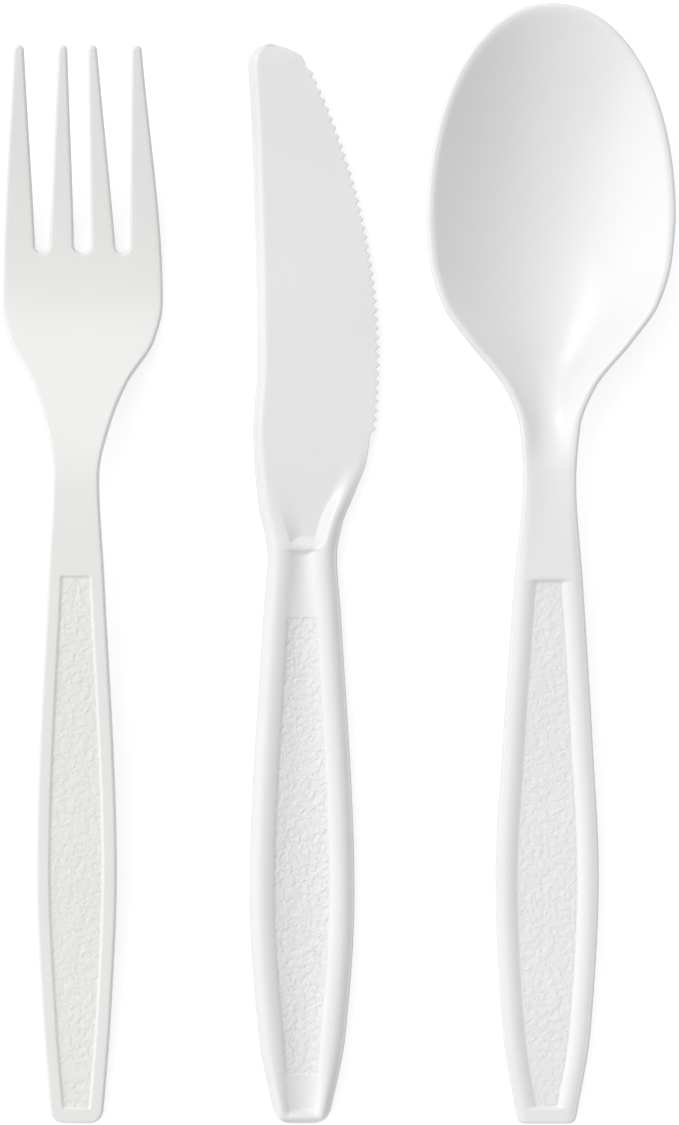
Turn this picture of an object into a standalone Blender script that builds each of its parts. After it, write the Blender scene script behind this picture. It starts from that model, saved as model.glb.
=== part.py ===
"""A fork, a knife and a spoon of white moulded plastic, lying side by side on a table.

Metres, Z up. Each piece is drawn in its own frame, with its handle end at Y = 0, its length along +Y
and its axis at X = 0, and is then turned and set in its place in the row. The shared origin is on the
table, under the middle of the box around all three.
"""
import math

import bmesh
import bpy
import mathutils
import numpy as np

# Every handle: a rim runs round a sunk panel, above and below a thin web. Its walls lean a little.
WALL_DRAFT = 0.0001

# Fork, spans along its length from the handle end to the tips.
FORK_END_RIM = 0.0026
FORK_TAPER_SPAN = 0.0154
FORK_GRIP_SPAN = 0.0240
FORK_PANEL_LENGTH = 0.0887
FORK_NECK_LENGTH = 0.0165
FORK_SHOULDER_LENGTH = 0.0292
FORK_HEAD_LENGTH = 0.0083
FORK_TINE_LENGTH = 0.0327
# Fork, widths.
FORK_END_WIDTH = 0.0085
FORK_TAPER_WIDTH = 0.0113
FORK_GRIP_WIDTH = 0.0133
FORK_PANEL_TOP_WIDTH = 0.0092
FORK_NECK_WIDTH = 0.0075
FORK_HEAD_WIDTH = 0.0268
FORK_TIP_WIDTH = 0.0208
FORK_RIM_WIDTH = 0.00245
MIDDLE_SLOT_WIDTH = 0.0028
OUTER_SLOT_WIDTH = 0.0023
OUTER_TINE_TIP = 0.0016
INNER_TINE_TIP = 0.0014
# Fork, heights and thicknesses.
FORK_HANDLE_RISE = 0.0073
FORK_CREST_RISE = 0.0085
FORK_TIP_RISE = 0.0114
FORK_HANDLE_THICKNESS = 0.0022
FORK_HEAD_THICKNESS = 0.0017
FORK_TIP_THICKNESS = 0.0011
FORK_RECESS = 0.00035
FORK_POCKET = 0.0009
FORK_EDGE_RADIUS = 0.0005
FORK_CORNER_RADIUS = 0.0021
# Shares that part the tines at their roots and the slots at the tips.
INNER_TINE_SHARE = 0.44
MIDDLE_SLOT_SHARE = 0.23

# Knife, spans along its length from the handle end to the point.
KNIFE_END_RIM = 0.0022
KNIFE_LOWER_CHANNEL = 0.0060
KNIFE_PANEL_LENGTH = 0.0760
KNIFE_UPPER_CHANNEL = 0.0103
KNIFE_BOLSTER_LENGTH = 0.0035
KNIFE_HEEL_LENGTH = 0.0170
KNIFE_TOOTHED_LENGTH = 0.0612
KNIFE_POINT_LENGTH = 0.0038
KNIFE_TAPER_SPAN = 0.0150
KNIFE_GRIP_SPAN = 0.0230
KNIFE_WAIST_SPAN = 0.0115
KNIFE_SPINE_RUN = 0.0385
KNIFE_BELLY_SPAN = 0.0120
# Knife, widths.
KNIFE_END_WIDTH = 0.0087
KNIFE_TAPER_WIDTH = 0.0146
KNIFE_GRIP_WIDTH = 0.0175
KNIFE_PANEL_TOP_WIDTH = 0.0130
KNIFE_NECK_WIDTH = 0.0116
KNIFE_SPINE_REACH = 0.0082
KNIFE_SPINE_WAIST = 0.00755
KNIFE_SPINE_RUN_REACH = 0.00845
KNIFE_SPINE_TIP_REACH = 0.0091
KNIFE_BELLY_REACH = 0.0121
KNIFE_POINT_REACH = 0.0005
KNIFE_POINT_OFFSET = 0.0053
KNIFE_POINT_FLAT = 0.0016
KNIFE_RIM_WIDTH = 0.0041
KNIFE_END_RIM_WIDTH = 0.0026
KNIFE_SPINE_RIM_WIDTH = 0.0024
KNIFE_HEEL_RIM_WIDTH = 0.0034
# Knife, thicknesses and teeth.
KNIFE_RIM_THICKNESS = 0.0040
KNIFE_CHANNEL_THICKNESS = 0.0016
KNIFE_PANEL_SINK = 0.00015
KNIFE_BOLSTER_THICKNESS = 0.0032
KNIFE_SPINE_THICKNESS = 0.0024
KNIFE_BEVEL_DEPTH = 0.0016
KNIFE_EDGE_THICKNESS = 0.0006
KNIFE_EDGE_RADIUS = 0.0004
KNIFE_CORNER_RADIUS = 0.0027
SAW_EDGE_RADIUS = 0.00012
TOOTH_PITCH = 0.00152
TOOTH_DEPTH = 0.00085
# The cross rib rises over the first share of the bolster and falls away from the second.
RIB_BACK_SHARE = 0.15
RIB_CREST_SHARE = 0.4
# A rim's crest lies at this share of its width from its edge, and it has lost this share of its height
# by its foot. The web then dishes over this share of the width between the feet.
RIM_CREST_SHARE = 0.46
RIM_FOOT_FALL = 0.53
DISH_SHARE = 0.25
# How squarely the two sides of the point run out.
POINT_SPINE_POWER = 2.2
POINT_EDGE_POWER = 2.4

# Spoon, spans along its length from the handle end to the lip's tip.
SPOON_END_RIM = 0.0024
SPOON_TAPER_SPAN = 0.0136
SPOON_GRIP_SPAN = 0.0250
SPOON_WAIST_SPAN = 0.0230
SPOON_PANEL_LENGTH = 0.0884
SPOON_NECK_LENGTH = 0.0162
SPOON_SHOULDER_LENGTH = 0.0425
SPOON_BOWL_FRONT = 0.0353
# Spoon, widths.
SPOON_END_WIDTH = 0.0096
SPOON_TAPER_WIDTH = 0.0147
SPOON_GRIP_WIDTH = 0.0171
SPOON_WAIST_WIDTH = 0.0148
SPOON_PANEL_TOP_WIDTH = 0.0112
SPOON_NECK_WIDTH = 0.0087
SPOON_BOWL_WIDTH = 0.0409
SPOON_RIM_WIDTH = 0.0034
SPOON_PANEL_SLOPE = 0.0009
SPOON_LIP_WIDTH = 0.0012
# Spoon, heights and thicknesses.
SPOON_HANDLE_RISE = 0.0040
SPOON_NECK_RISE = 0.0064
SPOON_TIP_RISE = 0.0018
SPOON_BOWL_DEPTH = 0.0094
SPOON_BOWL_WALL = 0.0012
SPOON_LIP_HEIGHT = 0.0013
SPOON_HANDLE_THICKNESS = 0.0030
SPOON_NECK_THICKNESS = 0.0025
SPOON_RECESS = 0.0008
SPOON_POCKET = 0.0008
SPOON_NECK_DISH = 0.0003
SPOON_EDGE_RADIUS = 0.0006
SPOON_CORNER_RADIUS = 0.0011
# The lip and the hollow are ovals of this power. The wall is down to the lip's height at this share.
OVAL_POWER = 2.1
THIN_WALL_SHARE = 0.5

# The row: how far the handle axes lie apart, how far below the knife's the other two handle ends lie,
# and the turn of each piece on the table.
FORK_TO_KNIFE = 0.0376
KNIFE_TO_SPOON = 0.0408
FORK_END_DROP = 0.0002
SPOON_END_DROP = 0.0001
FORK_TURN = math.radians(-0.38)
KNIFE_TURN = math.radians(-0.03)
SPOON_TURN = math.radians(-0.05)

# How each outline swells from its neck: share of the span, then share of the widening.
FORK_SHOULDER_CURVE = ((0.0, 0.0), (0.31, 0.18), (0.53, 0.42), (0.79, 0.87), (1.0, 1.0))
KNIFE_SPINE_CURVE = ((0.0, 0.0), (0.46, 0.69), (1.0, 1.0))
KNIFE_HEEL_CURVE = ((0.0, 0.0), (0.25, 0.15), (0.49, 0.49), (0.77, 0.87), (1.0, 1.0))
SPOON_SHOULDER_CURVE = (
    (0.0, 0.0), (0.21, 0.04), (0.35, 0.18), (0.54, 0.58), (0.68, 0.835), (0.85, 0.965), (1.0, 1.0),
)
BOWL_BACK_CURVE = ((0.0, 0.0), (0.2, 0.18), (0.5, 0.70), (1.0, 1.0))

# Edges: the most that one is rounded, as a share of its wall, and the steps of each quarter round.
ROUNDING_SHARE = 0.45
ROUNDING_STEPS = 2
SMALLEST_CORNER = 0.0002
SHARP_ANGLE = math.radians(40)

# Mesh: shares of the way across a corner, a rim and the point, and the closest that two rows may lie.
CORNER_ROWS = (0.0, 0.1, 0.35, 1.0)
RIM_ROWS = (0.5, 0.85, 1.0)
RIM_LANES = (0.0, 0.18, RIM_CREST_SHARE, 0.75, 1.0)
POINT_ROWS = (0.2, 0.45, 0.7, 0.87, 1.0)
CLOSEST_ROWS = 0.00003
WELD_DISTANCE = 0.000001
TINE_ROWS = 11
TEETH_PER_CELL = 4
# First and last lane of each slot, and the place of a lane half way round a slot's root.
SLOT_LANES = ((2, 6), (8, 12), (14, 18))
ARC_LANE = math.sqrt(0.5)
# A panel, a rim or a lip keeps at least or at most these shares of the width around it.
LEAST_PANEL_SHARE = 0.3
MOST_PANEL_SHARE = 0.75
MOST_RIM_SHARE = 0.4
LEAST_LIP_SHARE = 0.2
BOWL_LANES_SHARE = 0.6

PLASTIC_COLOUR = (0.86, 0.86, 0.85, 1.0)
PLASTIC_ROUGHNESS = 0.22
PARTS_COLLECTION = "plastic_cutlery_set"


def smooth(stations, values, at):
    """Cubic curve through the values at the stations, level at each crest and with no overshoot."""
    stations, values = np.asarray(stations, float), np.asarray(values, float)
    gaps = np.diff(stations)
    slopes = np.diff(values) / gaps
    tangents = np.concatenate(([slopes[0]], np.zeros(len(gaps) - 1), [slopes[-1]]))
    same_way = slopes[:-1] * slopes[1:] > 0
    before, after = 2 * gaps[1:] + gaps[:-1], gaps[1:] + 2 * gaps[:-1]
    safe = np.where(same_way, slopes[:-1] * slopes[1:], 1.0)
    mean = (before + after) * safe / (before * slopes[1:] + after * slopes[:-1] + (~same_way))
    tangents[1:-1] = np.where(same_way, mean, 0.0)
    span = np.clip(np.searchsorted(stations, at, side="right") - 1, 0, len(gaps) - 1)
    t = (at - stations[span]) / gaps[span]
    rise = gaps[span] * ((t**3 - 2 * t**2 + t) * tangents[span] + (t**3 - t**2) * tangents[span + 1])
    return (1 - 3 * t**2 + 2 * t**3) * values[span] + (3 * t**2 - 2 * t**3) * values[span + 1] + rise


def ease(start, stop, at):
    """Nought before start, one after stop, and an even S between them."""
    t = np.clip((at - start) / (stop - start), 0.0, 1.0)
    return t * t * (3 - 2 * t)


def swell(curve, start, stop, low, high):
    """Stations and values of a curve of shares, set between two stations and two values."""
    shares = np.array(curve)
    return list(start + shares[:, 0] * (stop - start)), list(low + shares[:, 1] * (high - low))


def corner_inset(distance, radius):
    """How far a side has drawn in at this distance from an end with rounded corners."""
    reach = np.clip(radius - distance, 0.0, radius)
    return radius - np.sqrt(radius**2 - reach**2)


def gather_rows(*groups):
    """All the rows of the groups in order, without those that nearly repeat the one before."""
    rows = np.unique(np.concatenate(groups))
    return rows[np.append(True, np.diff(rows) > CLOSEST_ROWS)]


def inner_corner(radius, rounding):
    """Corner radius of an outline that is drawn in by the rounding."""
    return max(radius - rounding, SMALLEST_CORNER)


def lay_sheet(bm, x, y, z, open_cells=None):
    """One face of the mould: a grid laid on the arrays, without its open cells."""
    rows, lanes = z.shape
    made = bmesh.ops.create_grid(bm, x_segments=lanes - 1, y_segments=rows - 1, size=1.0)
    verts = made["verts"]
    if open_cells is not None:
        cut = []
        for face in {face for vert in verts for face in vert.link_faces}:
            centre = face.calc_center_median()
            lane = int((centre.x + 1) / 2 * (lanes - 1))
            row = int((centre.y + 1) / 2 * (rows - 1))
            if open_cells[row, lane]:
                cut.append(face)
        bmesh.ops.delete(bm, geom=cut, context="FACES")
        verts = [vert for vert in verts if vert.is_valid]
    for vert in verts:
        lane = round((vert.co.x + 1) / 2 * (lanes - 1))
        row = round((vert.co.y + 1) / 2 * (rows - 1))
        vert.co = (x[row, lane], y[row, lane], z[row, lane])


def walk_round(rows, lanes, slots=(), root_row=0):
    """Grid places met on one turn round the outline, anticlockwise, in and out of each slot."""
    last_row, last_lane = rows - 1, lanes - 1
    path = [(0, lane) for lane in range(last_lane)] + [(row, last_lane) for row in range(last_row)]
    lane = last_lane
    for first, last in reversed(slots):
        path += [(last_row, step) for step in range(lane, last, -1)]
        path += [(row, last) for row in range(last_row, root_row, -1)]
        path += [(root_row, step) for step in range(last, first, -1)]
        path += [(row, first) for row in range(root_row, last_row)]
        lane = first
    path += [(last_row, step) for step in range(lane, 0, -1)]
    return path + [(row, 0) for row in range(last_row, 0, -1)]


def lay_wall(bm, x, y, top, under, rounding):
    """Wall between the two sheets: it swells out from their rims in a quarter round above and below."""
    along_x, along_y = np.roll(x, -1) - np.roll(x, 1), np.roll(y, -1) - np.roll(y, 1)
    length = np.hypot(along_x, along_y)
    reach = np.minimum(rounding, ROUNDING_SHARE * (top - under))
    quarter = np.linspace(0.0, math.pi / 2, ROUNDING_STEPS + 1)[:, None]
    out, drop = reach * np.sin(quarter), reach * (1 - np.cos(quarter))
    out = np.concatenate([out, out[::-1]])
    z = np.concatenate([top - drop, under + drop[::-1]])
    close = np.append(np.arange(len(x)), 0)
    x, y = x + out * along_y / length, y - out * along_x / length
    lay_sheet(bm, x[:, close], y[:, close], z[:, close])
    bmesh.ops.remove_doubles(bm, verts=bm.verts, dist=WELD_DISTANCE)
    bmesh.ops.recalc_face_normals(bm, faces=bm.faces)


def inset_side(half_width, rows, rounding):
    """Half widths of the same outline drawn in by the rounding, square to the outline."""
    return half_width - rounding * np.hypot(1.0, np.gradient(half_width, rows))


def finish_piece(name, bm, along_row, end_drop, turn, collection):
    """Named object with its plastic, turned on the table and standing on it."""
    mesh = bpy.data.meshes.new(name)
    bm.to_mesh(mesh)
    bm.free()
    piece = bpy.data.objects.new(name, mesh)
    collection.objects.link(piece)
    mesh.materials.append(white_plastic(name))
    mesh.shade_smooth()
    mesh.set_sharp_from_angle(angle=SHARP_ANGLE)
    heights = np.array([vert.co.z for vert in mesh.vertices])
    piece.location = (along_row, -end_drop, -heights.min())
    piece.rotation_euler = (0.0, 0.0, turn)
    return piece


def white_plastic(name):
    """Glossy white moulding plastic for one piece."""
    material = bpy.data.materials.new(name + "_plastic")
    material.use_nodes = True
    shader = material.node_tree.nodes["Principled BSDF"]
    shader.inputs["Base Color"].default_value = PLASTIC_COLOUR
    shader.inputs["Roughness"].default_value = PLASTIC_ROUGHNESS
    shader.inputs["Metallic"].default_value = 0.0
    return material


def sunk_panel(x, y, half_width, start, end, slope):
    """One inside a panel, nought outside it, with its walls leaning over the slope."""
    across = np.clip((half_width + slope - np.abs(x)) / slope, 0.0, 1.0)
    along = np.clip(np.minimum(y - start, end - y) / slope + 1.0, 0.0, 1.0)
    return across * along


def tine_edges(root_half, tip_half, share_along):
    """Edges across the right half of the tines: of the middle slot, the inner tine and the outer slot.

    At the roots the slots keep their widths and the tines share the rest. At the tips the tines keep
    their widths and the slots share the rest.
    """
    root_left = root_half - MIDDLE_SLOT_WIDTH / 2 - OUTER_SLOT_WIDTH
    tip_left = tip_half - INNER_TINE_TIP - OUTER_TINE_TIP
    root = np.cumsum([MIDDLE_SLOT_WIDTH / 2, root_left * INNER_TINE_SHARE, OUTER_SLOT_WIDTH])
    tip = np.cumsum([tip_left * MIDDLE_SLOT_SHARE, INNER_TINE_TIP, tip_left * (1 - MIDDLE_SLOT_SHARE)])
    return [a + (b - a) * share_along for a, b in zip(root, tip)]


def fork(collection):
    """Fork with a sunk panel in the handle, an arched neck and four tapering tines."""
    panel_start = FORK_END_RIM
    panel_end = panel_start + FORK_PANEL_LENGTH
    neck = panel_end + FORK_NECK_LENGTH
    head = neck + FORK_SHOULDER_LENGTH
    root = head + FORK_HEAD_LENGTH
    tip = root + FORK_TINE_LENGTH
    arc = OUTER_SLOT_WIDTH / 2
    rounding = min(FORK_EDGE_RADIUS, ROUNDING_SHARE * INNER_TINE_TIP, ROUNDING_SHARE * FORK_TIP_THICKNESS)

    shoulder_at, shoulder = swell(FORK_SHOULDER_CURVE, neck, head, FORK_NECK_WIDTH, FORK_HEAD_WIDTH)
    grip = panel_start + FORK_TAPER_SPAN + FORK_GRIP_SPAN
    stations = [0.0, panel_start + FORK_TAPER_SPAN, grip, panel_end] + shoulder_at + [tip]
    widths = [FORK_END_WIDTH, FORK_TAPER_WIDTH, FORK_GRIP_WIDTH, FORK_PANEL_TOP_WIDTH]
    widths += shoulder + [FORK_TIP_WIDTH]

    corner = inner_corner(FORK_CORNER_RADIUS, rounding)
    rows = gather_rows(
        rounding + np.array(CORNER_ROWS) * corner, [panel_start - WALL_DRAFT],
        np.linspace(panel_start, panel_end, 11), np.linspace(panel_end + WALL_DRAFT, neck, 5),
        np.linspace(neck, head, 10), np.linspace(head, root - rounding - arc, 4),
        np.linspace(root + arc, tip - rounding, TINE_ROWS))
    outline = smooth(stations, widths, rows) / 2
    half = inset_side(outline, rows, rounding) - corner_inset(rows - rounding, corner)

    # Handle lanes: an even spread to the foot of the panel's wall, its top, and the edge.
    foot = np.maximum(outline - FORK_RIM_WIDTH, LEAST_PANEL_SHARE * half)
    handle = [foot * share for share in np.linspace(0.0, 1.0, 9)] + [foot + WALL_DRAFT, half]

    # Head lanes: middle slot, inner tine, outer slot, outer tine.
    at_root = smooth(stations, widths, np.array([root]))[0] / 2
    share_along = np.clip((rows - root) / (tip - root), 0.0, 1.0)
    slot_in, inner_out, slot_out = tine_edges(at_root, FORK_TIP_WIDTH / 2, share_along)
    slot_in, inner_out, slot_out = slot_in + rounding, inner_out - rounding, slot_out + rounding
    slot_mid, slot_half = (inner_out + slot_out) / 2, (slot_out - inner_out) / 2
    edge = np.where(rows > root, half, at_root - rounding)
    head_lanes = [0.0 * rows, slot_in * ARC_LANE, slot_in, (slot_in + inner_out) / 2, inner_out,
                  slot_mid - slot_half * ARC_LANE, slot_mid, slot_mid + slot_half * ARC_LANE,
                  slot_out, (slot_out + edge) / 2, edge]

    to_head = ease(neck, root - arc, rows)
    right = np.array([(1 - to_head) * a + to_head * b * half / edge for a, b in zip(handle, head_lanes)]).T
    x = np.concatenate([-right[:, :0:-1], right], axis=1)
    lanes = x.shape[1]
    y = np.repeat(rows[:, None], lanes, axis=1)

    # The slot roots are arcs in the row where the slots begin.
    root_row = int(np.argmin(np.abs(rows - (root + arc))))
    open_cells = np.zeros((len(rows) - 1, lanes - 1), bool)
    for first, last in SLOT_LANES:
        centre = (x[root_row, first] + x[root_row, last]) / 2
        offset = (x[root_row, first:last + 1] - centre) / (x[root_row, last] - centre)
        y[root_row, first:last + 1] -= (arc + rounding) * np.sqrt(np.clip(1 - offset**2, 0, 1))
        open_cells[root_row:, first:last] = True

    rise = smooth([0.0, panel_end, neck, head, tip],
                  [0.0, FORK_HANDLE_RISE, FORK_CREST_RISE, 0.0, FORK_TIP_RISE], y)
    thickness = smooth([0.0, neck, head, tip],
                       [FORK_HANDLE_THICKNESS, FORK_HANDLE_THICKNESS, FORK_HEAD_THICKNESS,
                        FORK_TIP_THICKNESS], y)
    sunk = sunk_panel(x, y, foot[:, None], panel_start, panel_end, WALL_DRAFT)
    top = rise + thickness - FORK_RECESS * sunk
    under = rise + FORK_POCKET * sunk

    bm = bmesh.new()
    lay_sheet(bm, x, y, top, open_cells)
    lay_sheet(bm, x, y, under, open_cells)
    path = tuple(np.array(walk_round(len(rows), lanes, SLOT_LANES, root_row)).T)
    lay_wall(bm, x[path], y[path], top[path], under[path], rounding)
    return finish_piece("fork", bm, -FORK_TO_KNIFE, FORK_END_DROP, FORK_TURN, collection)


def rim_back(side, end, dish, foot_fall):
    """Share of a rim's height at each point: one out to its crest, then less towards its foot.

    Side and end are the distances in from the two edges that meet at a corner, in widths of the rim.
    Beyond the foot, where the fall so far is the foot's, the rest goes as the dish runs out to one.
    """
    down_side = np.clip((side - RIM_CREST_SHARE) / (1 - RIM_CREST_SHARE), 0.0, 1.0)
    down_end = np.clip((end - RIM_CREST_SHARE) / (1 - RIM_CREST_SHARE), 0.0, 1.0)
    inward = foot_fall * down_side**2 + (1 - foot_fall) * (1 - (1 - dish) ** 2)
    return 1 - np.minimum(inward, down_end**2)


def rim_bevel(side, end):
    """Share of the bevel's depth at each point: nought inside the crest, one at the edges."""
    outward = np.hypot(np.clip(1 - side / RIM_CREST_SHARE, 0.0, 1.0),
                       np.clip(1 - end / RIM_CREST_SHARE, 0.0, 1.0))
    return np.minimum(outward, 1.0) ** 2


def cut_teeth(bm, outline, saw):
    """Saw edge: each step of the outline that it takes is cut fine, with every other point pushed out.

    The sheets' edges there are cut at the same places, so that the wall meets them point to point.
    """
    shares = np.arange(1, 2 * TEETH_PER_CELL) / (2 * TEETH_PER_CELL)
    reach = TOOTH_DEPTH * (np.arange(1, 2 * TEETH_PER_CELL) % 2)
    pieces, done = [], 0
    for step in saw:
        start, stop = outline[:, step], outline[:, step + 1]
        between = start[:, None] + (stop - start)[:, None] * shares
        between[0] += reach
        for height in (2, 3):
            ends = [(*start[:2], start[height]), (*stop[:2], stop[height])]
            edge = edge_between(bm, ends)
            cut = bmesh.ops.subdivide_edges(bm, edges=[edge], cuts=len(shares))
            added = [item for item in cut["geom_inner"] if isinstance(item, bmesh.types.BMVert)]
            added.sort(key=lambda vert: vert.co.y)
            for vert, place in zip(added, between[[0, 1, height]].T):
                vert.co = place
        pieces += [outline[:, done:step + 1], between]
        done = step + 1
    return np.concatenate(pieces + [outline[:, done:]], axis=1)


def edge_between(bm, ends):
    """The sheets' edge that joins these two places."""
    near = [min(bm.verts, key=lambda vert: (vert.co - mathutils.Vector(end)).length_squared) for end in ends]
    return bm.edges.get(near)


def knife(collection):
    """Knife with two round handle rims, a cross rib, a bevelled spine and a saw edge, alike on both faces."""
    panel_start = KNIFE_END_RIM + KNIFE_LOWER_CHANNEL
    panel_end = panel_start + KNIFE_PANEL_LENGTH
    neck = panel_end + KNIFE_UPPER_CHANNEL
    bolster_end = neck + KNIFE_BOLSTER_LENGTH
    heel = bolster_end + KNIFE_HEEL_LENGTH
    toothed_end = heel + KNIFE_TOOTHED_LENGTH
    belly_at = heel + KNIFE_BELLY_SPAN
    belly_drop = (KNIFE_BELLY_REACH - KNIFE_POINT_REACH) / (toothed_end - belly_at) ** 2

    def root_at(station):
        """Line through the tooth roots: a parabola that bellies out and runs to the point."""
        return KNIFE_BELLY_REACH - belly_drop * (station - belly_at) ** 2

    handle_at = [0.0, KNIFE_TAPER_SPAN, KNIFE_TAPER_SPAN + KNIFE_GRIP_SPAN, panel_end]
    handle_half = [width / 2 for width in (KNIFE_END_WIDTH, KNIFE_TAPER_WIDTH, KNIFE_GRIP_WIDTH,
                                           KNIFE_PANEL_TOP_WIDTH)]
    spine_at, spine_half = swell(KNIFE_SPINE_CURVE, neck, heel, KNIFE_NECK_WIDTH / 2, KNIFE_SPINE_REACH)
    spine_at += [heel + KNIFE_WAIST_SPAN, heel + KNIFE_WAIST_SPAN + KNIFE_SPINE_RUN, toothed_end]
    spine_half += [KNIFE_SPINE_WAIST, KNIFE_SPINE_RUN_REACH, KNIFE_SPINE_TIP_REACH]
    heel_at, heel_half = swell(KNIFE_HEEL_CURVE, neck, heel, KNIFE_NECK_WIDTH / 2, root_at(heel))

    rib_back = neck + RIB_BACK_SHARE * KNIFE_BOLSTER_LENGTH
    rib_crest = neck + RIB_CREST_SHARE * KNIFE_BOLSTER_LENGTH
    rounding = KNIFE_EDGE_RADIUS
    corner = inner_corner(KNIFE_CORNER_RADIUS, rounding)
    end_rim = KNIFE_END_RIM - rounding
    cells = max(1, round(KNIFE_TOOTHED_LENGTH / (TOOTH_PITCH * TEETH_PER_CELL)))
    rows = gather_rows(
        rounding + np.array(CORNER_ROWS) * corner, rounding + np.array(RIM_ROWS) * end_rim,
        [panel_start - WALL_DRAFT], np.linspace(panel_start, panel_end, 10),
        np.linspace(panel_end + WALL_DRAFT, neck, 4), [rib_back], np.linspace(rib_crest, bolster_end, 3),
        np.linspace(bolster_end, heel, 9), np.linspace(heel, toothed_end, cells + 1),
        toothed_end + np.array(POINT_ROWS) * (KNIFE_POINT_LENGTH - rounding))

    # The point: a quarter oval on the spine side, and a long fall to the first tooth on the other.
    past = np.clip((rows - toothed_end) / (KNIFE_POINT_LENGTH - rounding), 0.0, 1.0)
    point_left, point_right = np.array([-0.5, 0.5]) * KNIFE_POINT_FLAT - KNIFE_POINT_OFFSET
    left = smooth(handle_at + spine_at, handle_half + spine_half, np.minimum(rows, toothed_end))
    left = -inset_side(left, rows, rounding)
    left = left + (point_left - left) * (1 - np.sqrt(1 - past**POINT_SPINE_POWER))
    right = smooth(handle_at + heel_at, handle_half + heel_half, np.minimum(rows, heel))
    right = np.where(rows > heel, root_at(np.minimum(rows, toothed_end)), right)
    side_rounding = rounding + (SAW_EDGE_RADIUS - rounding) * ease(bolster_end, heel, rows)
    right = inset_side(right, rows, side_rounding)
    right = right + (point_right - right) * past**POINT_EDGE_POWER
    width = right - left

    # Rims: narrow at the handle's end, wide along it, then thinner along the spine and the heel.
    to_grip = ease(0.0, KNIFE_TAPER_SPAN, rows)
    handle_rim = KNIFE_END_RIM_WIDTH + (KNIFE_RIM_WIDTH - KNIFE_END_RIM_WIDTH) * to_grip
    to_heel = ease(neck, heel, rows)
    spine_rim = handle_rim + (KNIFE_SPINE_RIM_WIDTH - handle_rim) * to_heel - rounding
    heel_rim = handle_rim + (KNIFE_HEEL_RIM_WIDTH - handle_rim) * to_heel - rounding
    spine_rim = np.minimum(spine_rim, MOST_RIM_SHARE * width)
    heel_rim = np.minimum(heel_rim, MOST_RIM_SHARE * width)

    drawn_in = corner_inset(rows - rounding, corner)
    spine_foot = np.maximum(left + spine_rim, left + drawn_in + spine_rim / 2)
    heel_foot = np.minimum(right - heel_rim, right - drawn_in - heel_rim / 2)
    lanes = [left + drawn_in + (spine_foot - left - drawn_in) * share for share in RIM_LANES]
    web_width = heel_foot - spine_foot
    draft = np.minimum(WALL_DRAFT, DISH_SHARE * web_width / 2)
    lanes += [spine_foot + draft]
    lanes += [spine_foot + web_width * share for share in (DISH_SHARE, 0.5, 1 - DISH_SHARE)]
    lanes += [heel_foot - draft]
    lanes += [right - drawn_in + (heel_foot - right + drawn_in) * share for share in RIM_LANES[::-1]]
    x = np.array(lanes).T
    y = np.repeat(rows[:, None], x.shape[1], axis=1)

    def column(values):
        """The same values for every lane."""
        return np.asarray(values)[:, None]

    in_blade = column(ease(neck, bolster_end, rows))
    across = np.clip((x - column(left)) / column(width), 0.0, 1.0)
    plate = KNIFE_SPINE_THICKNESS + (KNIFE_EDGE_THICKNESS - KNIFE_SPINE_THICKNESS) * across
    web = KNIFE_CHANNEL_THICKNESS + (plate - KNIFE_CHANNEL_THICKNESS) * in_blade
    between = (x - column(spine_foot)) / column(web_width)
    from_middle = x - column(spine_foot + heel_foot) / 2
    panel_half = column(web_width / 2 - draft)
    sink = KNIFE_PANEL_SINK * sunk_panel(from_middle, y, panel_half, panel_start, panel_end, WALL_DRAFT)

    # The rims stand on the web, and sink into the blade along the spine and along the heel.
    spine_side, heel_side = (x - column(left)) / column(spine_rim), (column(right) - x) / column(heel_rim)
    from_end = (y - rounding) / end_rim
    foot_fall = RIM_FOOT_FALL + (1 - RIM_FOOT_FALL) * in_blade
    from_spine = np.clip(between / DISH_SHARE, 0.0, 1.0)
    from_heel = np.clip((1 - between) / DISH_SHARE, 0.0, 1.0)
    spine_left, heel_left = column(1 - to_heel), column(1 - ease(bolster_end, heel, rows))
    backs = np.maximum(spine_left * rim_back(spine_side, from_end, from_spine, foot_fall),
                       heel_left * rim_back(heel_side, from_end, from_heel, foot_fall))
    bevel = np.maximum(rim_bevel(spine_side, from_end), heel_left * rim_bevel(heel_side, from_end))
    rib = ease(neck, rib_back, rows) * (1 - ease(rib_crest, bolster_end, rows))
    rib = column((KNIFE_BOLSTER_THICKNESS - KNIFE_CHANNEL_THICKNESS) * rib)
    raised = np.maximum((KNIFE_RIM_THICKNESS - web) * backs, rib)
    thickness = web + raised - KNIFE_BEVEL_DEPTH * bevel - 2 * sink
    top, under = (KNIFE_RIM_THICKNESS + thickness) / 2, (KNIFE_RIM_THICKNESS - thickness) / 2

    bm = bmesh.new()
    lay_sheet(bm, x, y, top)
    lay_sheet(bm, x, y, under)
    path = tuple(np.array(walk_round(*x.shape)).T)
    outline = np.array([x[path], y[path], top[path], under[path], side_rounding[path[0]]])
    outline[4, path[1] < x.shape[1] // 2] = rounding
    in_saw = (rows[path[0]] > heel - CLOSEST_ROWS) & (rows[path[0]] < toothed_end - CLOSEST_ROWS)
    saw = np.flatnonzero(in_saw & (path[1] == x.shape[1] - 1))
    lay_wall(bm, *cut_teeth(bm, outline, saw))
    return finish_piece("knife", bm, 0.0, 0.0, KNIFE_TURN, collection)


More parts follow.
